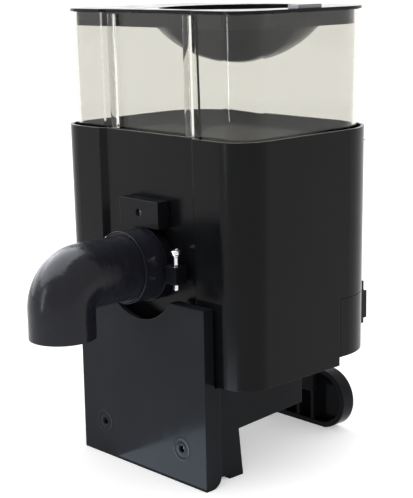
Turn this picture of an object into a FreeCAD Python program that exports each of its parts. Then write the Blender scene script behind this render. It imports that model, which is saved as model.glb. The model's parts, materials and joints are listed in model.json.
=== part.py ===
"""Automatic pet feeder: clear hopper, moulded body, star-wheel feed drive, elbow chute and stand.

Millimetres, +Z up, the front faces -Y and +X is right as seen from the front. Every piece is drawn
about the body's own centre line, then placed so that the whole feeder is centred over the origin.
"""
import FreeCAD
import Part
import Sketcher
import math
import os

os.makedirs("parts", exist_ok=True)
doc = FreeCAD.newDocument("pet_feeder")
Vector = FreeCAD.Vector

DIMENSIONS = {
    # body
    "body_width": 205, "body_depth": 153, "body_top": 256, "body_base": 78, "body_wall": 2.5,
    "front_radius": 24, "rear_radius": 42, "panel_half": 47, "panel_step": 4, "panel_slope": 5,
    "body_draft": 0.5,
    "seam_height": 130, "rear_base": 84.5, "rear_start": 25, "rear_gap": 0.4,
    # hopper and lid
    "hopper_width": 198, "hopper_depth": 144, "hopper_top": 342, "hopper_base": 247.2,
    "hopper_wall": 3, "hopper_draft": 1, "lid_top": 344.6, "lid_overhang": 2, "skirt_base": 331.7,
    "skirt_gap": 0.6, "skirt_wall": 2, "dish_radius": 61, "dish_base": 303.6, "dish_offset": 22,
    "dish_wall": 2, "catch_start": 86, "catch_width": 10, "catch_front": -14, "catch_length": 24,
    "catch_height": 2.6,
    # feed drive
    "outlet_height": 159.5, "duct_radius": 21.5, "rotor_height": 194, "rotor_setback": 30,
    "rotor_radius": 27, "rotor_length": 47, "drum_gap": 0.6, "drum_wall": 4.5, "drum_top": 224,
    "drum_base": 133, "shaft_radius": 4, "shaft_fit": 0.05, "gear_module": 1.25, "gear_teeth": 40,
    "pinion_teeth": 12, "gear_width": 8, "gear_start": 34, "motor_shaft_radius": 2.5,
    "side_gap": 0.8, "vane_wall": 3, "vane_count": 6, "rotor_hub": 9.5, "bush_radius": 7,
    "bush_flange": 10, "bush_flange_wall": 2.5, "bracket_start": 45, "bracket_wall": 3,
    "gearbox_end": 64, "motor_end": 94, "motor_radius": 15, "boss_radius": 6,
    # gate and adjuster
    "gate_half": 24, "gate_wall": 2, "gate_gap": 1.4, "adjuster_rise": 38.5, "adjuster_half": 21.5,
    "adjuster_half_height": 10, "adjuster_reach": 7, "clamp_hole": 3, "clamp_radius": 2.93,
    # chute
    "hub_radius": 27, "pipe_radius": 24.2, "pipe_wall": 2.5, "hub_fit": 0.08, "hub_front": 101,
    "bend_start": 137, "bend_radius": 20, "mouth_height": 118.5, "ring_wall": 3, "flange_wall": 6,
    "lug_half": 5.5, "lug_drop": 9, "lug_rise": 4, "lug_reach": 5, "lug_spacing": 74.8, "pin_radius": 2.2, "pin_top": 175.5, "pin_head_radius": 4,
    # stand
    "plate_width": 141, "plate_front": 85.7, "plate_top": 136, "plate_wall": 4, "flange_back": 70.5,
    "web_place": 57, "web_wall": 6, "beam_base": 40, "beam_back": 24, "foot_face": 78,
    "foot_back": 90, "foot_radius": 24.4, "foot_spacing": 70, "stud_spacing": 88.6, "stud_height": 27,
    "stud_radius": 2.75, "notch_radius": 41.5, "plate_edge": 3, "foot_rim": 4, "foot_flat": 42,
    "rib_wall": 3, "bracket_half": 30, "bracket_plate": 5, "bracket_front": 40,
    # power inlet
    "inlet_left": 50, "inlet_right": 79, "inlet_base": 97, "inlet_top": 131, "socket_wall": 3,
    "socket_left": 54, "socket_right": 77, "socket_base": 100, "socket_top": 122,
}


class Size:
    """A length that carries both its number and the spreadsheet expression that gives it."""

    def __init__(self, number, text):
        self.number = float(number)
        self.text = text

    def __add__(self, other):
        other = as_size(other)
        return Size(self.number + other.number, f"({self.text} + {other.text})")

    def __sub__(self, other):
        other = as_size(other)
        return Size(self.number - other.number, f"({self.text} - {other.text})")

    def __mul__(self, factor):
        factor = as_size(factor)
        return Size(self.number * factor.number, f"({self.text} * {factor.text})")

    def __truediv__(self, divisor):
        divisor = as_size(divisor)
        return Size(self.number / divisor.number, f"({self.text} / {divisor.text})")

    def __radd__(self, other):
        return as_size(other) + self

    def __rsub__(self, other):
        return as_size(other) - self

    def __rmul__(self, other):
        return as_size(other) * self

    def __neg__(self):
        return Size(0, "0") - self


def as_size(value):
    """A plain number as a Size; a Size as it is."""
    if isinstance(value, Size):
        return value
    return Size(value, f"({float(value)!r})")


sheet = doc.addObject("Spreadsheet::Sheet", "sizes")
for row, (alias, number) in enumerate(DIMENSIONS.items(), start=1):
    sheet.set(f"A{row}", alias)
    sheet.set(f"B{row}", str(number))
    sheet.setAlias(f"B{row}", alias)
doc.recompute()


def cell(alias):
    """The Size held by a spreadsheet cell."""
    return Size(getattr(sheet, alias), f"sizes.{alias}")


# Lengths worked out from the cells
CENTRE_SHIFT = (cell("bend_start") + cell("bend_radius") + cell("pipe_radius") - cell("foot_back")) / 2
BODY_FRONT = cell("body_depth") / 2
PANEL_FRONT = BODY_FRONT - cell("panel_step")
OUTLET = cell("outlet_height")
ROTOR_Y = -cell("rotor_setback")
ROTOR_Z = cell("rotor_height")
GEAR_PITCH = cell("gear_module") * cell("gear_teeth") / 2
PINION_PITCH = cell("gear_module") * cell("pinion_teeth") / 2
PINION_Y = ROTOR_Y + GEAR_PITCH + PINION_PITCH
NODES = []
OWN_Y = {}


def bind(thing, path, size):
    """Drive a property from the spreadsheet."""
    thing.setExpression(path, as_size(size).text)


def keep(thing, label):
    """Name a finished sub-part and place it with the feeder centred over the origin."""
    thing.Label = label
    bind(thing, "Placement.Base.y", CENTRE_SHIFT + OWN_Y.get(thing.Name, 0))
    NODES.append(thing)
    return thing


# --- PartDesign helpers ---------------------------------------------------------------------

def new_body(name):
    return doc.addObject("PartDesign::Body", f"{name}_body")


def new_sketch(body, role, offset):
    """A sketch on one of the body's origin planes, moved along the plane's normal.

    XY_Plane faces +Z, XZ_Plane faces -Y and YZ_Plane faces +X.
    """
    sketch = body.newObject("Sketcher::SketchObject", f"{body.Name}_sketch")
    plane = [item for item in body.Origin.OriginFeatures if item.Role == role][0]
    sketch.AttachmentSupport = [(plane, "")]
    sketch.MapMode = "FlatFace"
    bind(sketch, "AttachmentOffset.Base.z", offset)
    return sketch


def fix_point(sketch, geometry, which, point):
    """Hold a sketch point at a place driven by the spreadsheet."""
    for kind, size in zip(("DistanceX", "DistanceY"), point):
        size = as_size(size)
        index = sketch.addConstraint(Sketcher.Constraint(kind, -1, 1, geometry, which, size.number))
        bind(sketch, f"Constraints[{index}]", size)


def outline(sketch, path):
    """A closed outline through path: each entry is (x, y) or, for an arc to the next, (x, y, radius).

    Positive radii turn left (anticlockwise) and negative ones turn right.
    """
    first = sketch.GeometryCount
    for index, start in enumerate(path):
        end = path[(index + 1) % len(path)]
        a = Vector(as_size(start[0]).number, as_size(start[1]).number, 0)
        b = Vector(as_size(end[0]).number, as_size(end[1]).number, 0)
        if len(start) == 2:
            sketch.addGeometry(Part.LineSegment(a, b))
            continue
        radius = as_size(start[2])
        reach = abs(radius.number)
        chord = b - a
        half = chord.Length / 2
        rise = math.sqrt(max(reach * reach - half * half, 0))
        side = Vector(-chord.y, chord.x, 0).normalize() * (1 if radius.number > 0 else -1)
        centre = a + chord * 0.5 + side * rise
        middle = centre - side * reach
        sketch.addGeometry(Part.Arc(a, middle, b))
    for index, start in enumerate(path):
        geometry = first + index
        backwards = len(start) == 3 and as_size(start[2]).number < 0
        fix_point(sketch, geometry, 2 if backwards else 1, start[:2])
        follower = first + (index + 1) % len(path)
        next_start = path[(index + 1) % len(path)]
        next_backwards = len(next_start) == 3 and as_size(next_start[2]).number < 0
        sketch.addConstraint(Sketcher.Constraint(
            "Coincident", geometry, 1 if backwards else 2, follower, 2 if next_backwards else 1))
        if len(start) == 3:
            radius = as_size(start[2]) * (-1 if backwards else 1)
            number = sketch.addConstraint(Sketcher.Constraint("Radius", geometry, radius.number))
            bind(sketch, f"Constraints[{number}]", radius)


def rectangle(sketch, x_low, x_high, y_low, y_high):
    outline(sketch, [(x_low, y_low), (x_high, y_low), (x_high, y_high), (x_low, y_high)])


def circle(sketch, x, y, radius):
    x, y, radius = as_size(x), as_size(y), as_size(radius)
    index = sketch.addGeometry(Part.Circle(Vector(x.number, y.number, 0), Vector(0, 0, 1), radius.number))
    fix_point(sketch, index, 3, (x, y))
    number = sketch.addConstraint(Sketcher.Constraint("Radius", index, radius.number))
    bind(sketch, f"Constraints[{number}]", radius)


def extrude(body, kind, sketch, length, reverse=False, draft=None, both_ways=False):
    """Pad or Pocket a sketch, and check that the solid's volume changed the right way."""
    before = body.Shape.Volume if body.Tip else 0
    feature = body.newObject(f"PartDesign::{kind}", f"{body.Name}_{kind.lower()}")
    feature.Profile = sketch
    bind(feature, "Length", length)
    feature.Reversed = reverse
    feature.Midplane = both_ways
    if draft is not None:
        bind(feature, "TaperAngle", draft)
    doc.recompute()
    change = body.Shape.Volume - before
    if (change > 0) != (kind == "Pad"):
        raise ValueError(f"{feature.Name} changed the volume by {change:.1f}")
    return feature


def pad(body, role, offset, draw, length, **options):
    sketch = new_sketch(body, role, offset)
    draw(sketch)
    return extrude(body, "Pad", sketch, length, **options)


def pocket(body, role, offset, draw, length, **options):
    sketch = new_sketch(body, role, offset)
    draw(sketch)
    return extrude(body, "Pocket", sketch, length, **options)


def round_edges(body, radius, chosen):
    """Fillet the edges of the body's tip that the chosen test accepts."""
    base = body.Tip
    names = [f"Edge{number}" for number, edge in enumerate(base.Shape.Edges, start=1) if chosen(edge)]
    fillet = body.newObject("PartDesign::Fillet", f"{body.Name}_fillet")
    fillet.Base = (base, names)
    bind(fillet, "Radius", radius)
    doc.recompute()


# --- Part helpers ---------------------------------------------------------------------------

def box(x_low, x_high, y_low, y_high, z_low, z_high):
    solid = doc.addObject("Part::Box", "block")
    for name, low, high, axis in (("Length", x_low, x_high, "x"), ("Width", y_low, y_high, "y"),
                                  ("Height", z_low, z_high, "z")):
        bind(solid, name, as_size(high) - low)
        bind(solid, f"Placement.Base.{axis}", low)
    OWN_Y[solid.Name] = y_low
    return solid


AXIS_TURN = {"x": (Vector(0, 1, 0), 90), "y": (Vector(1, 0, 0), -90), "z": (Vector(0, 0, 1), 0)}


def rod(axis, start, end, centre, radius):
    """A cylinder along an axis from start to end; centre is its place on the other two axes."""
    solid = doc.addObject("Part::Cylinder", "rod")
    turn_axis, angle = AXIS_TURN[axis]
    solid.Placement = FreeCAD.Placement(Vector(), FreeCAD.Rotation(turn_axis, angle))
    bind(solid, "Radius", radius)
    bind(solid, "Height", as_size(end) - start)
    places = dict(zip([name for name in "xyz" if name != axis], centre))
    places[axis] = start
    for name, place in places.items():
        bind(solid, f"Placement.Base.{name}", place)
    OWN_Y[solid.Name] = places["y"]
    return solid


def fuse(*pieces):
    joined = doc.addObject("Part::MultiFuse", "joined")
    joined.Shapes = list(pieces)
    joined.Refine = True
    return joined


def cut(base, *tools):
    result = doc.addObject("Part::Cut", "cut")
    result.Base = base
    result.Tool = tools[0] if len(tools) == 1 else fuse(*tools)
    result.Refine = True
    return result


# --- Body -----------------------------------------------------------------------------------

def body_outline(inset):
    """The feeder's plan: rounded front and rear corners and a set-back panel across the front."""
    half = cell("body_width") / 2 - inset
    front = -(BODY_FRONT - inset)
    back = BODY_FRONT - inset
    panel = -(PANEL_FRONT - inset)
    near = cell("front_radius") - inset
    far = cell("rear_radius") - inset
    edge = cell("panel_half") + inset * 0.3
    slope = edge + cell("panel_slope")
    return lambda sketch: outline(sketch, [
        (-edge, panel), (edge, panel), (slope, front), (half - near, front, near), (half, front + near),
        (half, back - far, far), (half - far, back), (-half + far, back, far), (-half, back - far),
        (-half, front + near, near), (-half + near, front), (-slope, front)])


def body_shell():
    """Main moulding: tapered wall, open top, lower rear left open for the rear cover."""
    body = new_body("shell")
    top = cell("body_top")
    height = top - cell("body_base")
    draft = -cell("body_draft")
    pad(body, "XY_Plane", top, body_outline(0), height, reverse=True, draft=draft)
    pocket(body, "XY_Plane", top, body_outline(cell("body_wall")), height, draft=draft)
    rear = cell("rear_start")
    pocket(body, "YZ_Plane", 0, lambda sketch: rectangle(
        sketch, rear, BODY_FRONT + 5, cell("body_base") - 5, cell("seam_height")),
        cell("body_width") + 10, both_ways=True)
    pocket(body, "XZ_Plane", PANEL_FRONT - 8, lambda sketch: (
        circle(sketch, 0, OUTLET, cell("duct_radius")), circle(sketch, 0, OUTLET + cell("adjuster_rise"), cell("clamp_hole") + 0.4)),
        12, reverse=True)
    keep(body, "body_shell")


def rear_cover():
    """Lower rear moulding, with its own floor, below the seam."""
    body = new_body("rear")
    top = cell("body_top")
    height = top - cell("rear_base")
    draft = -cell("body_draft")
    start = cell("rear_start") + cell("rear_gap")
    floor = cell("rear_base") + 3
    pad(body, "XY_Plane", top, body_outline(0), height, reverse=True, draft=draft)
    pocket(body, "XY_Plane", top, body_outline(cell("body_wall")), top - floor, draft=draft)
    seam = cell("seam_height") - cell("rear_gap")
    wide = cell("body_width") + 10
    pocket(body, "YZ_Plane", 0, lambda sketch: rectangle(
        sketch, -BODY_FRONT - 5, start, 0, top + 5), wide, both_ways=True)
    pocket(body, "YZ_Plane", 0, lambda sketch: rectangle(
        sketch, 0, BODY_FRONT + 5, seam, top + 5), wide, both_ways=True)
    keep(body, "rear_cover")


def bottom_cover():
    """Flat cover that closes the body from below, in front of the rear cover."""
    body = new_body("bottom")
    base = cell("body_base") + 1
    pad(body, "XY_Plane", base, body_outline(4.3), 3)
    pocket(body, "YZ_Plane", 0, lambda sketch: rectangle(
        sketch, cell("rear_start") - 0.2, BODY_FRONT + 5, base - 5, base + 5),
        cell("body_width") + 10, both_ways=True)
    keep(body, "bottom_cover")


# --- Hopper, funnel and lid -----------------------------------------------------------------

def hopper_outline(inset):
    """The hopper's plan follows the body's, a little smaller."""
    shrink = (cell("body_width") - cell("hopper_width")) / 2
    half = cell("hopper_width") / 2 - inset
    front = -(cell("hopper_depth") / 2 - inset)
    back = cell("hopper_depth") / 2 - inset
    panel = front + cell("panel_step")
    near = cell("front_radius") - shrink - inset
    far = cell("rear_radius") - shrink - inset
    edge = cell("panel_half") + inset * 0.3
    slope = edge + cell("panel_slope")
    return lambda sketch: outline(sketch, [
        (-edge, panel), (edge, panel), (slope, front), (half - near, front, near), (half, front + near),
        (half, back - far, far), (half - far, back), (-half + far, back, far), (-half, back - far),
        (-half, front + near, near), (-half + near, front), (-slope, front)])


def hopper():
    """Clear tub, open at both ends, standing on the funnel's rim inside the body."""
    body = new_body("hopper")
    top = cell("hopper_top")
    height = top - cell("hopper_base")
    draft = -cell("hopper_draft")
    pad(body, "XY_Plane", top, hopper_outline(0), height, reverse=True, draft=draft)
    pocket(body, "XY_Plane", top, hopper_outline(cell("hopper_wall")), height, draft=draft)
    keep(body, "hopper")


def loft(kind, body, rings):
    """An additive or subtractive loft through horizontal rectangles (z, x half, y low, y high)."""
    sketches = []
    for height, half, y_low, y_high in rings:
        sketch = new_sketch(body, "XY_Plane", height)
        rectangle(sketch, -half, half, y_low, y_high)
        sketches.append(sketch)
    doc.recompute()
    feature = body.newObject(f"PartDesign::{kind}", f"{body.Name}_loft")
    feature.Profile = sketches[0]
    feature.Sections = sketches[1:]
    feature.Ruled = True
    doc.recompute()


def hopper_funnel():
    """Rim plate that carries the hopper, and four sloping sides down to the star wheel."""
    body = new_body("funnel")
    rim = cell("hopper_base") - 3.2
    low = cell("drum_top") + 0.4
    throat_half = cell("rotor_length") / 2 + 1.5
    throat_y = 17
    wall = 2.2
    pad(body, "XY_Plane", rim, body_outline(cell("body_wall") + 0.6), 3)
    loft("AdditiveLoft", body, [
        (rim + 0.5, 92, -68, 66),
        (low, throat_half + wall, ROTOR_Y - throat_y - wall, ROTOR_Y + throat_y + wall)])
    loft("SubtractiveLoft", body, [
        (rim + 3.01, 90, -66, 64),
        (low - 0.01, throat_half, ROTOR_Y - throat_y, ROTOR_Y + throat_y)])
    keep(body, "hopper_funnel")


def lid():
    """Flat lid with a skirt that drops inside the hopper and an open round dish."""
    body = new_body("lid")
    top = cell("lid_top")
    rim = cell("hopper_top") + 0.3
    skirt = cell("hopper_wall") + cell("skirt_gap")
    skirt_outer = skirt + 0.2
    base = cell("skirt_base")
    pad(body, "XY_Plane", rim, hopper_outline(-cell("lid_overhang")), top - rim)
    pad(body, "XY_Plane", rim + 0.5, hopper_outline(skirt_outer), rim + 0.5 - base, reverse=True)
    pocket(body, "XY_Plane", rim, hopper_outline(skirt_outer + cell("skirt_wall")), rim - base + 1)
    # round dish: a shallow bowl below a short upright wall
    x = cell("dish_offset")
    outer = cell("dish_radius")
    wall = cell("dish_wall")
    bowl_top = base + 0.5
    depth = bowl_top.number - cell("dish_base").number
    sphere = (outer.number ** 2 + depth ** 2) / (2 * depth)
    revolve(body, "Revolution", x, [
        (0, cell("dish_base"), sphere), (outer, bowl_top), (outer, top - 0.5), (0, top - 0.5)])
    revolve(body, "Groove", x, [
        (0, cell("dish_base") + wall, sphere), (outer - wall, bowl_top + 0.5),
        (outer - wall, top + 0.5), (0, top + 0.5)])
    keep(body, "lid")


def revolve(body, kind, x, path):
    """Revolve a profile, given as (distance from the upright axis, height), about an axis at x."""
    before = body.Shape.Volume if body.Tip else 0
    sketch = new_sketch(body, "XZ_Plane", 0)
    moved = [(as_size(x) + point[0],) + tuple(point[1:]) for point in path]
    outline(sketch, moved)
    line = sketch.addGeometry(Part.LineSegment(
        Vector(as_size(x).number, -10, 0), Vector(as_size(x).number, 0, 0)), True)
    fix_point(sketch, line, 1, (x, -10))
    fix_point(sketch, line, 2, (x, 0))
    doc.recompute()
    feature = body.newObject(f"PartDesign::{kind}", f"{body.Name}_{kind.lower()}")
    feature.Profile = sketch
    feature.ReferenceAxis = (sketch, ["Axis0"])
    feature.Angle = 360
    doc.recompute()
    change = body.Shape.Volume - before
    if (change > 0) != (kind == "Revolution"):
        raise ValueError(f"{feature.Name} changed the volume by {change:.1f}")


def lid_catch():
    """Small raised catch near the lid's right-hand edge."""
    top = cell("lid_top")
    left = cell("catch_start")
    front = cell("catch_front")
    keep(box(left, left + cell("catch_width"), front, front + cell("catch_length"),
             top, top + cell("catch_height")), "lid_catch")


# --- Feed drive -----------------------------------------------------------------------------

def drum_housing():
    """Block bored for the star wheel, open to the funnel above and to the outlet in front."""
    side = cell("rotor_length") / 2 + cell("side_gap")
    half = side + cell("drum_wall")
    bore = cell("rotor_radius") + cell("drum_gap")
    front = -(PANEL_FRONT - cell("body_wall") - 4)
    back = ROTOR_Y + bore + cell("drum_wall")
    block = box(-half, half, front, back, cell("drum_base"), cell("drum_top"))
    legs = [box(x_low, x_low + 4, -64, -4, cell("body_base") + 4, cell("drum_base") + 1)
            for x_low in (-half, half - 4)]
    chamber = rod("x", -side, side, (ROTOR_Y, ROTOR_Z), bore)
    mouth = box(-side, side, ROTOR_Y - 17, ROTOR_Y + 17, ROTOR_Z, cell("drum_top") + 1)
    duct = rod("y", front - 1, ROTOR_Y, (0, OUTLET), cell("duct_radius"))
    seats = rod("x", -half - 1, half + 1, (ROTOR_Y, ROTOR_Z), cell("bush_radius"))
    keep(cut(fuse(block, *legs), chamber, mouth, duct, seats), "drum_housing")


def rotor():
    """Star wheel: a hub with six vanes that portions the food."""
    half = cell("rotor_length") / 2
    thick = cell("vane_wall") / 2
    count = int(cell("vane_count").number)
    vanes = []
    for number in range(count):
        vane = box(-half, half, -thick, thick, cell("rotor_hub") - 1.5, cell("rotor_radius"))
        turned = doc.addObject("Part::Compound", "vane")
        turned.Links = [vane]
        turned.Placement = FreeCAD.Placement(
            Vector(0, ROTOR_Y.number, ROTOR_Z.number),
            FreeCAD.Rotation(Vector(1, 0, 0), (number + 0.5) * 360 / count))
        bind(turned, "Placement.Base.y", ROTOR_Y)
        bind(turned, "Placement.Base.z", ROTOR_Z)
        vanes.append(turned)
    hub = rod("x", -half, half, (ROTOR_Y, ROTOR_Z), cell("rotor_hub"))
    bore = rod("x", -half - 1, half + 1, (ROTOR_Y, ROTOR_Z), cell("shaft_radius"))
    keep(cut(fuse(hub, *vanes), bore), "rotor")


def rotor_shaft():
    keep(rod("x", -37, 43, (ROTOR_Y, ROTOR_Z), cell("shaft_radius")), "rotor_shaft")


def rotor_bushes():
    """A flanged bush each side of the housing carries the star wheel's shaft."""
    inner = cell("rotor_length") / 2 + cell("side_gap")
    outer = inner + cell("drum_wall")
    for side, label in ((-1, "rotor_bush_left"), (1, "rotor_bush_right")):
        spans = [(inner + 0.1, outer), (outer, outer + cell("bush_flange_wall"))]
        rings = []
        for (near, far), radius in zip(spans, (cell("bush_radius"), cell("bush_flange"))):
            low, high = (near, far) if side > 0 else (-far, -near)
            rings.append(rod("x", low, high, (ROTOR_Y, ROTOR_Z), radius))
        hole = rod("x", -50, 50, (ROTOR_Y, ROTOR_Z), cell("shaft_radius") + cell("shaft_fit"))
        keep(cut(fuse(*rings), hole), label)


def gear(label, teeth, centre_y, bore, phase):
    """Spur gear on a shaft along X; phase is the turn, in teeth, of the first tooth from +Y."""
    module = cell("gear_module")
    count = int(teeth.number)
    pitch = module * teeth / 2
    tip = pitch.number + module.number * 0.95
    root = pitch.number - module.number * 1.2
    body = new_body(label)
    sketch = new_sketch(body, "YZ_Plane", cell("gear_start"))
    step = 2 * math.pi / count
    points = []
    for tooth in range(count):
        middle = (tooth + phase) * step
        for share, radius in ((-0.30, root), (-0.12, tip), (0.12, tip), (0.30, root)):
            angle = middle + share * step
            points.append(Vector(radius * math.cos(angle), radius * math.sin(angle), 0))
    for index, point in enumerate(points):
        sketch.addGeometry(Part.LineSegment(point, points[(index + 1) % len(points)]))
    for index in range(len(points)):
        sketch.addConstraint(Sketcher.Constraint("Coincident", index, 2, (index + 1) % len(points), 1))
    hole = sketch.addGeometry(Part.Circle(Vector(0, 0, 0), Vector(0, 0, 1), bore.number))
    sketch.addConstraint(Sketcher.Constraint("Coincident", hole, 3, -1, 1))
    radius = sketch.addConstraint(Sketcher.Constraint("Radius", hole, bore.number))
    bind(sketch, f"Constraints[{radius}]", bore)
    extrude(body, "Pad", sketch, cell("gear_width"))
    OWN_Y[body.Name] = centre_y
    bind(body, "Placement.Base.z", ROTOR_Z)
    keep(body, label)


def drive_gears():
    """Large gear on the star wheel's shaft, pinion on the motor's, in mesh on the +Y side."""
    gear("drive_gear", cell("gear_teeth"), ROTOR_Y, cell("shaft_radius"), 0)
    gear("pinion", cell("pinion_teeth"), PINION_Y, cell("motor_shaft_radius"), 0.5)


def motor_set():
    """Gear motor on the right of the housing, its bracket and its output shaft."""
    plate_start = cell("bracket_start")
    plate_end = plate_start + cell("bracket_wall")
    gearbox_end = cell("gearbox_end")
    foot = box(30, plate_end, -24, 4, cell("drum_base"), cell("drum_base") + 4)
    plate = box(plate_start, plate_end, -24, PINION_Y + 20, cell("drum_base"), ROTOR_Z + 20)
    boss_hole = rod("x", plate_start - 1, plate_end + 1, (PINION_Y, ROTOR_Z), cell("boss_radius"))
    gear_space = box(plate_start - 2, plate_end + 1, -60, -8, ROTOR_Z - 22, ROTOR_Z + 30)
    keep(cut(fuse(foot, plate), boss_hole, gear_space), "motor_bracket")
    gearbox = box(plate_end, gearbox_end, PINION_Y - 10, PINION_Y + 22, ROTOR_Z - 18, ROTOR_Z + 18)
    can = rod("x", gearbox_end, cell("motor_end"), (PINION_Y + 6, ROTOR_Z), cell("motor_radius"))
    bearing = rod("x", plate_end - 3, plate_end, (PINION_Y, ROTOR_Z), cell("boss_radius") - 0.2)
    hole = rod("x", plate_end - 4, 60, (PINION_Y, ROTOR_Z), cell("motor_shaft_radius") + cell("shaft_fit"))
    keep(cut(fuse(gearbox, can, bearing), hole), "gear_motor")
    keep(rod("x", 33, 58, (PINION_Y, ROTOR_Z), cell("motor_shaft_radius")), "motor_shaft")


def feed_gate():
    """Plate behind the front wall that slides down over the outlet to cut the portion."""
    wall_inside = -(PANEL_FRONT - cell("body_wall"))
    bottom = OUTLET + cell("duct_radius") + 1.5
    front = wall_inside + cell("gate_gap")
    half = cell("gate_half")
    keep(box(-half, half, front, front + cell("gate_wall"), bottom, cell("drum_top") - 1), "feed_gate")


def adjuster():
    """Square-ended block on the front panel, with the gate's clamping screw through it."""
    height = OUTLET + cell("adjuster_rise")
    front = -(BODY_FRONT + cell("adjuster_reach"))
    back = -PANEL_FRONT
    half = cell("adjuster_half")
    rise = cell("adjuster_half_height")
    block = box(-half, half, front, back, height - rise, height + rise)
    hole = rod("y", front - 1, back + 1, (0, height), cell("clamp_hole"))
    keep(cut(block, hole), "adjuster_block")
    shank = rod("y", front + 2.5, back + cell("body_wall") + 0.4, (0, height), cell("clamp_radius"))
    slot = box(-0.5, 0.5, front + 2, front + 3.7, height - 4, height + 4)
    keep(cut(shank, slot), "adjuster_screw")


# --- Chute ----------------------------------------------------------------------------------

def chute_mounting():
    """Ring on the body, then the flange with two ears that the lift-out pins pass through."""
    back = -PANEL_FRONT
    face = back - cell("ring_wall")
    front = face - cell("flange_wall")
    opening = cell("duct_radius") + 0.5
    ring = rod("y", face, back, (0, OUTLET), cell("hub_radius") + 0.5)
    keep(cut(ring, rod("y", face - 1, back + 1, (0, OUTLET), opening)), "outlet_ring")
    disc = rod("y", front, face, (0, OUTLET), cell("hub_radius") + 1.2)
    half = cell("lug_spacing") / 2
    low = OUTLET - cell("lug_drop")
    high = OUTLET + cell("lug_rise")
    ear = cell("lug_half")
    bar = box(-half - ear, half + ear, front, face, low, high)
    ears = [box(x - ear, x + ear, front - cell("lug_reach"), face, low, high) for x in (-half, half)]
    hole = rod("y", front - 6, face + 1, (0, OUTLET), opening)
    pin_y = front + 0.5
    pin_holes = [rod("z", low - 1, high + 1, (x, pin_y), cell("pin_radius") + cell("shaft_fit"))
                 for x in (-half, half)]
    keep(cut(fuse(disc, bar, *ears), hole, *pin_holes), "chute_flange")
    for x, label in ((-half, "chute_pin_left"), (half, "chute_pin_right")):
        shank = rod("z", low - 6, cell("pin_top") - 2, (x, pin_y), cell("pin_radius"))
        head = rod("z", cell("pin_top") - 4, cell("pin_top"), (x, pin_y), cell("pin_head_radius"))
        keep(fuse(shank, head), label)
    tube = rod("y", -cell("hub_front"), front, (0, OUTLET), cell("hub_radius"))
    bore = rod("y", -cell("hub_front") - 1, front + 1, (0, OUTLET), cell("pipe_radius") + cell("hub_fit"))
    keep(cut(tube, bore), "chute_hub")


def elbow_form(body, kind, radius, start, overrun):
    """The elbow's pipe of one radius: a straight run, a short bend and a straight drop."""
    bend = cell("bend_start")
    drop = cell("bend_radius")
    corner = OUTLET - drop
    action = pad if kind == "Pad" else pocket
    forward = kind == "Pad"
    action(body, "XZ_Plane", start, lambda sketch: circle(sketch, 0, OUTLET, radius),
           bend - start, reverse=not forward)
    action(body, "XY_Plane", corner, lambda sketch: circle(sketch, 0, -bend - drop, radius),
           corner - cell("mouth_height") + overrun, reverse=forward)
    half_chord = math.sqrt(radius.number ** 2 - drop.number ** 2)
    sketch = new_sketch(body, "XZ_Plane", bend)
    outline(sketch, [(-half_chord, corner), (half_chord, corner, radius), (0, OUTLET + radius, radius)])
    line = sketch.addGeometry(Part.LineSegment(
        Vector(-30, corner.number, 0), Vector(30, corner.number, 0)), True)
    fix_point(sketch, line, 1, (-30, corner))
    fix_point(sketch, line, 2, (30, corner))
    doc.recompute()
    before = body.Shape.Volume
    feature = body.newObject("PartDesign::Revolution" if forward else "PartDesign::Groove", "bend")
    feature.Profile = sketch
    feature.ReferenceAxis = (sketch, ["Axis0"])
    feature.Angle = 90
    doc.recompute()
    if body.Shape.BoundBox.YMin > -(bend + drop + radius).number + 0.5 or feature.Shape.isNull():
        feature.Reversed = True
        doc.recompute()
    if (body.Shape.Volume > before) != forward:
        raise ValueError("the elbow's bend changed the volume the wrong way")


def chute_elbow():
    """Pipe elbow that turns in the hub and drops the food straight down."""
    body = new_body("elbow")
    inner_radius = cell("pipe_radius") - cell("pipe_wall")
    start = BODY_FRONT + 8
    elbow_form(body, "Pad", cell("pipe_radius"), start, 0)
    elbow_form(body, "Pocket", inner_radius, start, 1)
    keep(body, "chute_elbow")


# --- Power inlet ----------------------------------------------------------------------------

def power_inlet():
    """Low-voltage inlet on the rear right-hand corner: a frame with a shrouded socket."""
    back = BODY_FRONT
    frame = box(cell("inlet_left"), cell("inlet_right"), 50, back + 2, cell("inlet_base"),
                cell("inlet_top"))
    left, right = cell("socket_left"), cell("socket_right")
    low, high = cell("socket_base"), cell("socket_top")
    wall = cell("socket_wall")
    shroud = box(left, right, 50, back + 8, low, high)
    socket_space = box(left + wall, right - wall, back + 0.8, back + 9, low + wall, high - wall)
    inset = 1.2
    far = cell("rear_radius")
    corner_x = cell("body_width") / 2 - far
    corner = rod("z", 90, 140, (corner_x, back - far), far - inset)
    flat = box(40, corner_x, 40, back - inset, 90, 140)
    keep(cut(fuse(frame, shroud), socket_space, corner, flat), "power_inlet")


# --- Stand ----------------------------------------------------------------------------------

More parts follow.
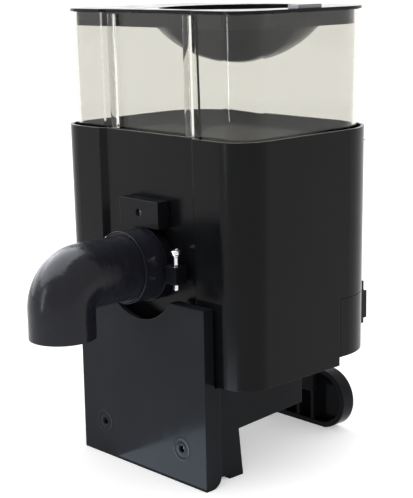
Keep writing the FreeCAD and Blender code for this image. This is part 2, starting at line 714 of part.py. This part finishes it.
def stand_front_plate():
    """Upright front plate with side flanges, cut round the chute's flange at the top."""
    body = new_body("plate")
    half = cell("plate_width") / 2
    wall = cell("plate_wall")
    front = -cell("plate_front")
    back = -cell("flange_back")
    skin = front + wall
    edge = cell("plate_edge")
    pad(body, "XZ_Plane", -back, lambda sketch: rectangle(sketch, -half, half, 0, cell("plate_top")),
        back - front)
    wide = cell("plate_width") + 10
    pocket(body, "YZ_Plane", 0, lambda sketch: rectangle(
        sketch, -BODY_FRONT, back + 5, cell("body_base") - 1, cell("plate_top") + 5), wide, both_ways=True)
    round_edges(body, 9, lambda edge: is_rear_corner(edge, back.number))
    pocket(body, "XZ_Plane", -skin, lambda sketch: rectangle(
        sketch, -half + edge, half - edge, edge, cell("plate_top") - edge), back - skin + 5)
    pocket(body, "XZ_Plane", -front + 5,
           lambda sketch: circle(sketch, 0, OUTLET, cell("notch_radius")), 60)
    stud = cell("stud_spacing") / 2
    pocket(body, "XZ_Plane", -front + 5, lambda sketch: [
        circle(sketch, x, cell("stud_height"), cell("stud_radius")) for x in (-stud, stud)], 60)
    keep(body, "stand_front_plate")


def is_rear_corner(edge, back):
    """The flange's lower rear corner: an edge along X at the back, at floor level."""
    ends = edge.BoundBox
    return abs(ends.YMin - back) < 0.01 and abs(ends.YMax - back) < 0.01 and ends.ZMax < 0.01


def stand_webs():
    """Side webs: a leg behind the plate and a beam under the body."""
    place = cell("web_place")
    wall = cell("web_wall")
    leg_front = -cell("flange_back") - 8
    base = cell("beam_base")
    top = cell("body_base")
    for side, label in ((-1, "stand_web_left"), (1, "stand_web_right")):
        body = new_body(label)
        start = place if side > 0 else -place - wall
        pad(body, "YZ_Plane", start, lambda sketch: outline(sketch, [
            (leg_front, 3.5), (-55, 3.5), (-55, 0), (-41, 0), (-45, base - 3), (cell("beam_back"), base + 1),
            (cell("beam_back"), top + 1), (-70, top + 1), (-70, top), (leg_front, top)]), wall)
        keep(body, label)


def stand_rear_foot():
    """Long rear foot with round ends, a hollow face and upright ribs."""
    body = new_body("foot")
    radius = cell("foot_radius")
    middle = cell("foot_spacing") / 2
    face = cell("foot_face")
    depth = cell("foot_back") - face
    flat = cell("foot_flat")
    low_rise = math.sqrt(radius.number ** 2 - (flat - middle).number ** 2)
    pad(body, "XZ_Plane", -face, lambda sketch: outline(sketch, [
        (-flat, radius - low_rise), (-flat + 3, 0), (flat - 3, 0),
        (flat, radius - low_rise, radius), (middle + radius, radius, radius), (middle, radius * 2),
        (-middle, radius * 2, radius), (-middle - radius, radius, radius)]), depth, reverse=True)
    rim = cell("foot_rim")
    inner = radius - rim
    pocket(body, "XZ_Plane", -face, lambda sketch: outline(sketch, [
        (-middle, rim), (middle, rim, inner), (middle + inner, radius, inner),
        (middle, radius * 2 - rim), (-middle, radius * 2 - rim, inner),
        (-middle - inner, radius, inner)]), depth - 3)
    rib = cell("rib_wall") / 2
    for place in (-24, -8, 8, 24):
        pad(body, "XZ_Plane", -face - 1, lambda sketch: rectangle(
            sketch, place - rib, place + rib, rim - 1, radius * 2 - rim + 1), depth - 2, reverse=True)
    keep(body, "stand_rear_foot")


def stand_rear_bracket():
    """Angle bracket that hangs the rear foot from the body's underside."""
    face = cell("foot_face")
    under = cell("rear_base")
    half = cell("bracket_half")
    upright = box(-half, half, face - cell("bracket_plate"), face, 30, under)
    shelf = box(-half, half, cell("bracket_front"), face, under - 4, under)
    keep(fuse(upright, shelf), "stand_rear_bracket")


# --- Fasteners ------------------------------------------------------------------------------

def screws(label, axis, places, head_at, direction, length, radius=1.6, head=3.2, head_depth=2):
    """A group of round-headed screws: a head standing on a face and a shank going into it."""
    solids = []
    for place in places:
        top = as_size(head_at)
        outward = top + direction * head_depth
        inward = top - direction * length
        head_ends = (top, outward) if direction > 0 else (outward, top)
        shank_ends = (inward, top) if direction > 0 else (top, inward)
        solids.append(fuse(rod(axis, head_ends[0], head_ends[1], place, head),
                           rod(axis, shank_ends[0], shank_ends[1], place, radius)))
    group = doc.addObject("Part::Compound", label)
    group.Links = solids
    keep(group, label)


def fasteners():
    base = cell("body_base") + 1
    screws("bottom_screws", "z", [(x, y) for x in (-86, 86) for y in (-46, 12)], base, -1, 2.8)
    face = cell("rear_base")
    screws("rear_cover_screws", "z", [(-70, 45), (70, 45)], face, -1, 2.8)
    screws("bracket_screws", "z", [(-18, 52), (18, 52)], face - 4, -1, 3.8)
    screws("motor_screws", "x", [(PINION_Y + 17, ROTOR_Z - 13), (PINION_Y + 17, ROTOR_Z + 13)],
           45, -1, 2.8)


for build in (body_shell, rear_cover, bottom_cover, hopper, hopper_funnel, lid, lid_catch, drum_housing,
              rotor, rotor_shaft, rotor_bushes, drive_gears, motor_set, feed_gate, adjuster,
              chute_mounting, chute_elbow, power_inlet, stand_front_plate, stand_webs,
              stand_rear_foot, stand_rear_bracket, fasteners):
    build()
doc.recompute()

for item in doc.Objects:
    if "Invalid" in item.State or "Error" in item.State:
        raise RuntimeError(f"{item.Label} did not recompute: {item.State}")
for node in NODES:
    if node.Shape.isNull() or not node.Shape.isValid():
        raise RuntimeError(f"{node.Label} has no valid shape")
for node in NODES:
    node.Shape.exportStep(os.path.join("parts", f"{node.Label}.step"))
    size = node.Shape.BoundBox
    print(f"{node.Label}: {len(node.Shape.Solids)} solids, {node.Shape.Volume / 1000:.1f} cm3, "
          f"z {size.ZMin:.1f} to {size.ZMax:.1f}")
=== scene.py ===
"""Looks for the automatic pet feeder: materials, small finished pieces, light and camera."""
import json
import math

import bmesh
import bpy
from mathutils import Matrix, Vector

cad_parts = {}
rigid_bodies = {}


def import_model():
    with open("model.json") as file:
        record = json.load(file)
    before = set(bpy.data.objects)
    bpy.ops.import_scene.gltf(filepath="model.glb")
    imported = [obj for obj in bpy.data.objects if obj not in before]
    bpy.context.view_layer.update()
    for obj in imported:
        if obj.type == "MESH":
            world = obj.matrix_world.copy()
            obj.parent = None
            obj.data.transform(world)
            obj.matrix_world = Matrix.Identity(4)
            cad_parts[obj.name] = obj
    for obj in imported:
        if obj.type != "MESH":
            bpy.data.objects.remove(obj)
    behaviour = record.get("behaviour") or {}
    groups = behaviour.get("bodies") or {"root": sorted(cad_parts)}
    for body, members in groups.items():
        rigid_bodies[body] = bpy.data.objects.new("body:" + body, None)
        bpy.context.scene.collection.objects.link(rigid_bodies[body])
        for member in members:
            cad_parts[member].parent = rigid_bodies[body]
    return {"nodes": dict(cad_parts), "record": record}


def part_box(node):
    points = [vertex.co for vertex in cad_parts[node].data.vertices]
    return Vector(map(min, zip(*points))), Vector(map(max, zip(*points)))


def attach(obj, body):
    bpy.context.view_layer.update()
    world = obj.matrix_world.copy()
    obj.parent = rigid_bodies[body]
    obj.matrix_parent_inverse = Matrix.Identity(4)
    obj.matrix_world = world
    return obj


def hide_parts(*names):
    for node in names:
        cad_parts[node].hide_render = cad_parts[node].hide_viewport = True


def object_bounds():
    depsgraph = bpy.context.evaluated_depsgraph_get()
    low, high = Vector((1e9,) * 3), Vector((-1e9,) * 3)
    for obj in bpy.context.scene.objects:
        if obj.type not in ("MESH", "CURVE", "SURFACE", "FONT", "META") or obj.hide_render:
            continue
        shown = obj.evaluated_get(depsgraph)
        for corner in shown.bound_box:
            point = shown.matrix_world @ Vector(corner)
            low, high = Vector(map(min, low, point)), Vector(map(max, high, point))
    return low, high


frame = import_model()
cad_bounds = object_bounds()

MM = 0.001
TURN = 2 * math.pi

# Camera: where it stands, and how it is turned about the upright axis, tilted and rolled
CAMERA_PLACE = Vector((0.7343, -0.6571, 0.3756))
CAMERA_AZIMUTH = math.radians(46.908)
CAMERA_ELEVATION = math.radians(12.10)
CAMERA_ROLL = math.radians(-1.03)
CAMERA_LENS = 95.98
CAMERA_SENSOR = 36.0
CAMERA_REACH = 100

# Soft boxes: place from the feeder's middle, width and height, all in metres, and power in watts
SOFT_BOXES = {
    "key": dict(place=(-0.85, -0.32, 1.50), size=(2.6, 2.4), power=120, colour=(0.90, 0.94, 1.0)),
    "strip": dict(place=(-0.45, -1.72, 0.25), size=(0.12, 1.1), power=8, colour=(0.86, 0.93, 1.0)),
    "back": dict(place=(-1.2, 1.5, 0.45), size=(1.6, 0.8), power=2.1, colour=(1, 1, 1)),
    "side": dict(place=(-1.75, -0.10, 0.50), size=(1.8, 0.9), power=14, colour=(0.92, 0.95, 1.0)),
}
# Light that comes up off the floor in front of the stand plate; its place is in the scene's frame
GLOW_PLACE = Vector((0.055, -0.175, 0.002))
FLOOR_GLOW = dict(size=(0.17, 0.27), power=0.55, colour=(0.72, 0.86, 1.0))
WORLD_STRENGTH = 1.08
FLOOR_HALF_WIDTH = 12
FLOOR_COLOUR = (0.96, 0.96, 0.955, 1)
FLOOR_EMISSION = 0.35


# --- Materials -------------------------------------------------------------------------------

# The colour mix node's sockets go by number, because several of them share a name
MIX_FACTOR, MIX_FIRST, MIX_SECOND, MIX_RESULT = 0, 6, 7, 2

# The part of each noise's range that is spread over a roughness range
SMEAR_PART = (0.35, 0.7)
HAZE_PART = (0.5, 0.8)
FLOOR_PART = (0.3, 0.7)

# How many times more closely the gloss varies than the colour
SMEAR_FINENESS = 4


def new_material(name):
    """A node material, its tree and its principled shader."""
    material = bpy.data.materials.new(name)
    material.use_nodes = True
    shader = material.node_tree.nodes["Principled BSDF"]
    return material, material.node_tree, shader


def add_node(tree, kind, **values):
    """A node with its inputs, or failing that its settings, given by name."""
    node = tree.nodes.new(kind)
    for key, value in values.items():
        if key in node.inputs:
            node.inputs[key].default_value = value
        else:
            setattr(node, key, value)
    return node


def ramp(tree, noise, taken, given):
    """Spread one part of a noise's range over a range of roughness."""
    node = add_node(tree, "ShaderNodeMapRange")
    node.inputs["From Min"].default_value, node.inputs["From Max"].default_value = taken
    node.inputs["To Min"].default_value, node.inputs["To Max"].default_value = given
    tree.links.new(noise.outputs["Fac"], node.inputs["Value"])
    return node.outputs["Result"]


def surface(name, colour, tint, rough, grain, grain_depth, metal=0.0, edge=0.8 * MM,
            colour_scale=18.0, ior=1.5):
    """Moulded or turned surface: uneven colour and gloss, fine grain, softened edges.

    colour and tint are the two ends of the colour's slow variation, and colour_scale is its size
    in features per metre; rough is the roughness range; grain is the bump's size in features per
    metre and grain_depth its height in metres; edge is the radius that softens the edges.
    """
    material, tree, shader = new_material(name)
    place = add_node(tree, "ShaderNodeTexCoord").outputs["Object"]
    slow = add_node(tree, "ShaderNodeTexNoise", Scale=colour_scale, Detail=4.0)
    fine = add_node(tree, "ShaderNodeTexNoise", Scale=grain, Detail=3.0)
    smear = add_node(tree, "ShaderNodeTexNoise", Scale=colour_scale * SMEAR_FINENESS, Detail=6.0,
                     Roughness=0.65)
    for noise in (slow, fine, smear):
        tree.links.new(place, noise.inputs["Vector"])
    mix = add_node(tree, "ShaderNodeMix", data_type="RGBA")
    mix.inputs[MIX_FIRST].default_value = (*colour, 1)
    mix.inputs[MIX_SECOND].default_value = (*tint, 1)
    tree.links.new(slow.outputs["Fac"], mix.inputs[MIX_FACTOR])
    tree.links.new(mix.outputs[MIX_RESULT], shader.inputs["Base Color"])
    tree.links.new(ramp(tree, smear, SMEAR_PART, rough), shader.inputs["Roughness"])
    bevel = add_node(tree, "ShaderNodeBevel", Radius=edge, samples=4)
    bump = add_node(tree, "ShaderNodeBump", Strength=1.0, Distance=grain_depth)
    tree.links.new(fine.outputs["Fac"], bump.inputs["Height"])
    tree.links.new(bevel.outputs["Normal"], bump.inputs["Normal"])
    tree.links.new(bump.outputs["Normal"], shader.inputs["Normal"])
    shader.inputs["Metallic"].default_value = metal
    shader.inputs["IOR"].default_value = ior
    return material


def clear_plastic():
    """Clear moulded plastic with a faint yellow cast and upright streaks of haze."""
    material, tree, shader = new_material("look_clear_plastic")
    place = add_node(tree, "ShaderNodeTexCoord").outputs["Object"]
    stretch = add_node(tree, "ShaderNodeMapping", Scale=(1.0, 1.0, 0.15))
    haze = add_node(tree, "ShaderNodeTexNoise", Scale=60.0, Detail=5.0)
    tree.links.new(place, stretch.inputs["Vector"])
    tree.links.new(stretch.outputs["Vector"], haze.inputs["Vector"])
    tree.links.new(ramp(tree, haze, HAZE_PART, (0.0, 0.06)), shader.inputs["Roughness"])
    shader.inputs["Base Color"].default_value = (0.705, 0.698, 0.66, 1)
    shader.inputs["Transmission Weight"].default_value = 1.0
    shader.inputs["IOR"].default_value = 1.33
    return material


# A refraction index stated here is tuned, not measured: lower than real plastic's, so that black
# stays black in even white surroundings
BLACK_IOR = 1.20
NYLON = dict(grain=1200, grain_depth=0.04 * MM)
METAL = dict(grain=2500, grain_depth=0.01 * MM, metal=1.0, edge=0.2 * MM)
LOOKS = {
    "body_plastic": surface(
        "look_body", colour=(0.0014, 0.0014, 0.0016), tint=(0.0032, 0.0032, 0.0036),
        rough=(0.15, 0.27), grain=900, grain_depth=0.012 * MM, ior=BLACK_IOR),
    "clear_plastic": clear_plastic(),
    "lid_plastic": surface(
        "look_lid", colour=(0.003, 0.003, 0.0034), tint=(0.006, 0.006, 0.0066),
        rough=(0.12, 0.24), grain=900, grain_depth=0.004 * MM, ior=BLACK_IOR),
    "catch_plastic": surface(
        "look_catch", colour=(0.20, 0.20, 0.20), tint=(0.26, 0.26, 0.26),
        rough=(0.35, 0.5), grain=1400, grain_depth=0.05 * MM),
    "inner_plastic": surface(
        "look_inner", colour=(0.03, 0.03, 0.034), tint=(0.05, 0.05, 0.054),
        rough=(0.45, 0.6), grain=1200, grain_depth=0.06 * MM),
    "wheel_nylon": surface(
        "look_wheel", colour=(0.62, 0.60, 0.54), tint=(0.72, 0.70, 0.64),
        rough=(0.38, 0.5), **NYLON),
    "gear_nylon": surface(
        "look_gear", colour=(0.68, 0.66, 0.58), tint=(0.76, 0.74, 0.68),
        rough=(0.35, 0.48), edge=0.3 * MM, **NYLON),
    "brass": surface(
        "look_brass", colour=(0.62, 0.43, 0.17), tint=(0.72, 0.54, 0.24),
        rough=(0.22, 0.36), **METAL),
    "shaft_steel": surface(
        "look_steel", colour=(0.48, 0.48, 0.50), tint=(0.60, 0.60, 0.62),
        rough=(0.22, 0.38), **METAL),
    "motor_case": surface(
        "look_motor", colour=(0.42, 0.42, 0.44), tint=(0.55, 0.55, 0.57),
        rough=(0.28, 0.45), **METAL),
    "fitting_plastic": surface(
        "look_fitting", colour=(0.002, 0.002, 0.0026), tint=(0.005, 0.005, 0.006),
        rough=(0.22, 0.36), grain=1300, grain_depth=0.03 * MM, ior=1.19),
    "screw_steel": surface(
        "look_screw", colour=(0.35, 0.35, 0.37), tint=(0.50, 0.50, 0.52),
        rough=(0.25, 0.42), **METAL),
    "pipe_plastic": surface(
        "look_pipe", colour=(0.004, 0.004, 0.0055), tint=(0.009, 0.009, 0.012),
        rough=(0.14, 0.32), grain=150, grain_depth=0.22 * MM, colour_scale=26.0, ior=1.27),
    "pin_chrome": surface(
        "look_chrome", colour=(0.58, 0.58, 0.60), tint=(0.66, 0.66, 0.68),
        rough=(0.05, 0.12), grain=2500, grain_depth=0.003 * MM, metal=1.0, edge=0.3 * MM),
    "inlet_plastic": surface(
        "look_inlet", colour=(0.005, 0.005, 0.006), tint=(0.010, 0.010, 0.012),
        rough=(0.3, 0.45), grain=1300, grain_depth=0.05 * MM, edge=0.4 * MM, ior=BLACK_IOR),
    "stand_plastic": surface(
        "look_stand", colour=(0.004, 0.0043, 0.0052), tint=(0.008, 0.0086, 0.0102),
        rough=(0.10, 0.24), grain=900, grain_depth=0.02 * MM, ior=1.16),
}


def dress_cad_nodes():
    """Give every CAD node its slot's finished material."""
    slots = {part["node"]: part["material_slot"] for part in frame["record"]["subparts"]}
    for name, thing in frame["nodes"].items():
        for slot in thing.material_slots:
            slot.material = LOOKS[slots[name]]


# --- Pieces ----------------------------------------------------------------------------------

# Chrome pins: the shank and its tip, then the collar and the domed, dimpled head, each point a
# share of the shank's or the head's radius and a depth below the pin's top
PIN_SHANK_RADIUS = 2.2 * MM
PIN_TIP_SHARE = 0.6
PIN_TIP_HEIGHT = 1.2 * MM
PIN_COLLAR = ((1.0, 5.6 * MM), (1.25, 5.2 * MM), (1.25, 4.4 * MM))
PIN_HEAD = ((0.9, 4.0 * MM), (1.0, 3.4 * MM), (1.0, 1.6 * MM), (0.93, 0.9 * MM),
            (0.75, 0.35 * MM), (0.42, 0.05 * MM), (0.40, 1.2 * MM), (0.0, 1.3 * MM))

# Marks on the stand plate: an inner ring, a groove and an outer ring. Heights are from the plate's
# face; the gap and the slope are out from the hole, and the rest are radii
MARK_SUNK = 0.4 * MM
MARK_RISE = 0.18 * MM
MARK_GROOVE_LEVEL = 0.05 * MM
MARK_HOLE_GAP = 0.1 * MM
MARK_HOLE_LIP = 0.1 * MM
MARK_HOLE_SLOPE = 0.8 * MM
MARK_INNER_RIM = 4.6 * MM
MARK_GROOVE = (5.0 * MM, 7.6 * MM)
MARK_OUTER_RING = (7.9 * MM, 8.9 * MM)
MARK_EDGE = 9.3 * MM

# Clear ribs in the hopper's front recess: oval in section, leaning with the hopper's front
RIB_OFFSET = 41.5 * MM
RIB_HALF_WIDTH = 4.4 * MM
RIB_HALF_DEPTH = 1.7 * MM
RIB_RECESS = 4 * MM
RIB_GAP = 0.1 * MM
RIB_FOOT_GAP = 0.5 * MM
RIB_TOP_GAP = 1.0 * MM
RIB_LEAN = 0.012

# Bead at the hub's front edge: distances from the hub's radius, and back from its face
BEAD_INSET = 1.2 * MM
BEAD_SHOULDER = 0.5 * MM
BEAD_PROUD = 0.02 * MM
BEAD_ROUND = 0.6 * MM
BEAD_LENGTH = 3.0 * MM
BEAD_BACK = 3.2 * MM

PIN_STEPS, MARK_STEPS, RIB_STEPS, BEAD_STEPS = 48, 64, 32, 96
ON_AXIS = 1e-7
FACE_FRONT = Matrix.Rotation(math.radians(90), 4, "X")


def finish_piece(made, name, body, slot, smooth_angle=40):
    """Turn a bmesh into an object that rides on a body and wears a slot's look."""
    data = bpy.data.meshes.new(name)
    made.to_mesh(data)
    made.free()
    thing = bpy.data.objects.new(name, data)
    bpy.context.scene.collection.objects.link(thing)
    data.materials.append(LOOKS[slot])
    data.shade_smooth()
    data.set_sharp_from_angle(angle=math.radians(smooth_angle))
    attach(thing, body)
    return thing


def ring(made, x, y, half_width, half_depth, height, steps):
    """Vertices round a level oval."""
    return [made.verts.new((x + half_width * math.cos(TURN * step / steps),
                            y + half_depth * math.sin(TURN * step / steps), height))
            for step in range(steps)]


def bridge(made, low, high, steps):
    """Faces between two rings, either of which may be a single point."""
    for step in range(steps):
        after = (step + 1) % steps
        corners = [low[step % len(low)], low[after % len(low)], high[after % len(high)],
                   high[step % len(high)]]
        made.faces.new(list(dict.fromkeys(corners)))


def lathe(profile, steps, placement):
    """A closed solid of revolution about +Z from (radius, height) points, then placed."""
    made = bmesh.new()
    rings = []
    for radius, height in profile:
        if radius < ON_AXIS:
            rings.append([made.verts.new((0, 0, height))])
        else:
            rings.append(ring(made, 0, 0, radius, radius, height, steps))
    pairs = list(zip(rings, rings[1:]))
    if len(rings[0]) > 1:
        pairs.append((rings[-1], rings[0]))
    for low, high in pairs:
        bridge(made, low, high, steps)
    bmesh.ops.recalc_face_normals(made, faces=made.faces)
    bmesh.ops.transform(made, matrix=placement, verts=made.verts)
    return made


def chute_pins():
    """Chrome pins: a domed head with a dimple, on a shank with a turned collar."""
    for side in ("left", "right"):
        node = f"chute_pin_{side}"
        low, high = (Vector(corner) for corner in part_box(node))
        middle = (low + high) / 2
        head = (high.x - low.x) / 2
        profile = [(0, low.z), (PIN_SHANK_RADIUS * PIN_TIP_SHARE, low.z),
                   (PIN_SHANK_RADIUS, low.z + PIN_TIP_HEIGHT)]
        profile += [(PIN_SHANK_RADIUS * share, high.z - depth) for share, depth in PIN_COLLAR]
        profile += [(head * share, high.z - depth) for share, depth in PIN_HEAD]
        made = lathe(profile, PIN_STEPS, Matrix.Translation((middle.x, middle.y, 0)))
        pin = finish_piece(made, f"pin_{side}_turned", f"pin_{side}", "pin_chrome", 30)
        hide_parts(node)


def plate_marks():
    """Raised rings about the stand's two holes."""
    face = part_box("stand_front_plate")[0][1]
    pattern = [mount for mount in frame["record"]["mounts"] if mount["name"] == "stand_bolts"][0]
    reach = pattern["dims"]["spacing_x_mm"] * MM / 2
    hole = pattern["dims"]["hole_r_mm"] * MM
    height = pattern["pos_m"][2]
    groove, outer = MARK_GROOVE, MARK_OUTER_RING
    profile = [(hole + MARK_HOLE_GAP, -MARK_SUNK), (hole + MARK_HOLE_GAP, MARK_HOLE_LIP),
               (hole + MARK_HOLE_SLOPE, MARK_RISE), (MARK_INNER_RIM, MARK_RISE),
               (groove[0], MARK_GROOVE_LEVEL), (groove[1], MARK_GROOVE_LEVEL),
               (outer[0], MARK_RISE), (outer[1], MARK_RISE),
               (MARK_EDGE, 0), (MARK_EDGE, -MARK_SUNK)]
    for side, label in ((-1, "left"), (1, "right")):
        place = Matrix.Translation((side * reach, face, height)) @ FACE_FRONT
        made = lathe(profile, MARK_STEPS, place)
        finish_piece(made, f"plate_mark_{label}", "housing", "stand_plastic")


def hub_bead():
    """Rounded bead at the hub's front edge, where the elbow goes in."""
    low, high = (Vector(corner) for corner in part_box("chute_hub"))
    middle = (low + high) / 2
    outer = (high.x - low.x) / 2
    profile = [(outer - BEAD_INSET, 0), (outer - BEAD_SHOULDER, 0.0),
               (outer + BEAD_PROUD, -BEAD_ROUND), (outer + BEAD_PROUD, -BEAD_LENGTH),
               (outer - BEAD_INSET, -BEAD_BACK)]
    place = Matrix.Translation((middle.x, low.y, middle.z)) @ FACE_FRONT
    finish_piece(lathe(profile, BEAD_STEPS, place), "hub_bead", "housing", "pipe_plastic")


def hopper_ribs():
    """Shallow clear ribs that stand in the hopper's front recess, one along each edge of it."""
    low, high = (Vector(corner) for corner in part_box("hopper"))
    foot_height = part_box("body_shell")[1][2] + RIB_FOOT_GAP
    for side, label in ((-1, "left"), (1, "right")):
        centre = Vector((side * RIB_OFFSET, low.y + RIB_RECESS - RIB_HALF_DEPTH - RIB_GAP, 0))
        made = bmesh.new()
        foot, top = (
            ring(made, centre.x, centre.y + (high.z - height) * RIB_LEAN,
                 RIB_HALF_WIDTH, RIB_HALF_DEPTH, height, RIB_STEPS)
            for height in (foot_height, high.z - RIB_TOP_GAP))
        bridge(made, foot, top, RIB_STEPS)
        made.faces.new(list(reversed(foot)))
        made.faces.new(top)
        bmesh.ops.recalc_face_normals(made, faces=made.faces)
        finish_piece(made, f"hopper_rib_{label}", "housing", "clear_plastic")


# --- Light, floor and camera -----------------------------------------------------------------

def feeder_collection():
    """The feeder's own pieces, gathered so that the soft boxes light them alone."""
    lit = bpy.data.collections.new("lit")
    for thing in bpy.context.scene.objects:
        if thing.type == "MESH":
            lit.objects.link(thing)
    return lit


def area_light(lit, name, place, aim, size, power, colour):
    """A rectangular light on the feeder alone, so that the floor keeps its even white.

    It is mirrored in the feeder, but the camera doesn't see it, directly or through the hopper.
    """
    data = bpy.data.lights.new(name, "AREA")
    data.shape = "RECTANGLE"
    data.size, data.size_y = size
    data.energy = power
    data.color = colour
    thing = bpy.data.objects.new(name, data)
    thing.location = place
    thing.rotation_euler = (Vector(aim) - Vector(place)).to_track_quat("-Z", "Y").to_euler()
    thing.light_linking.receiver_collection = lit
    thing.visible_camera = False
    thing.visible_transmission = False
    bpy.context.scene.collection.objects.link(thing)


def surroundings():
    """Even white all round."""
    scene = bpy.context.scene
    scene.view_settings.view_transform = "Standard"
    world = bpy.data.worlds.new("studio")
    world.use_nodes = True
    background = world.node_tree.nodes["Background"]
    background.inputs["Color"].default_value = (1.0, 1.0, 1.0, 1)
    background.inputs["Strength"].default_value = WORLD_STRENGTH
    scene.world = world


def feeder_lights(lit):
    """Four soft boxes that face the feeder's middle, and one light just above the floor."""
    middle = Vector((0, 0, cad_bounds[1][2] / 2))
    for name, box in SOFT_BOXES.items():
        area_light(lit, name, middle + Vector(box["place"]), middle, box["size"], box["power"],
                   box["colour"])
    area_light(lit, "floor_glow", GLOW_PLACE, GLOW_PLACE + Vector((0, 0, 1)), **FLOOR_GLOW)


def pale_floor():
    """Wide matt floor that glows a little, so that it stays near white."""
    made = bmesh.new()
    bmesh.ops.create_grid(made, x_segments=1, y_segments=1, size=FLOOR_HALF_WIDTH)
    data = bpy.data.meshes.new("floor")
    made.to_mesh(data)
    made.free()
    floor = bpy.data.objects.new("floor", data)
    bpy.context.scene.collection.objects.link(floor)
    paper, tree, shader = new_material("paper_floor")
    noise = add_node(tree, "ShaderNodeTexNoise", Scale=3.0, Detail=2.0)
    tree.links.new(ramp(tree, noise, FLOOR_PART, (0.85, 0.95)), shader.inputs["Roughness"])
    shader.inputs["Base Color"].default_value = FLOOR_COLOUR
    shader.inputs["Specular IOR Level"].default_value = 0.0
    shader.inputs["Emission Color"].default_value = (1.0, 1.0, 1.0, 1)
    shader.inputs["Emission Strength"].default_value = FLOOR_EMISSION
    data.materials.append(paper)


def camera():
    """The camera, turned, tilted and rolled as its constants say."""
    data = bpy.data.cameras.new("camera")
    data.sensor_width = CAMERA_SENSOR
    data.lens = CAMERA_LENS
    data.clip_end = CAMERA_REACH
    thing = bpy.data.objects.new("camera", data)
    back = Vector((math.sin(CAMERA_AZIMUTH) * math.cos(CAMERA_ELEVATION),
                   -math.cos(CAMERA_AZIMUTH) * math.cos(CAMERA_ELEVATION),
                   math.sin(CAMERA_ELEVATION)))
    level = Vector((math.cos(CAMERA_AZIMUTH), math.sin(CAMERA_AZIMUTH), 0))
    upright = back.cross(level)
    right = level * math.cos(CAMERA_ROLL) + upright * math.sin(CAMERA_ROLL)
    up = upright * math.cos(CAMERA_ROLL) - level * math.sin(CAMERA_ROLL)
    turned = Matrix((right, up, back)).transposed().to_4x4()
    thing.matrix_world = Matrix.Translation(CAMERA_PLACE) @ turned
    bpy.context.scene.collection.objects.link(thing)
    bpy.context.scene.camera = thing


dress_cad_nodes()
chute_pins()
plate_marks()
hub_bead()
hopper_ribs()
surroundings()
feeder_lights(feeder_collection())
pale_floor()
camera()
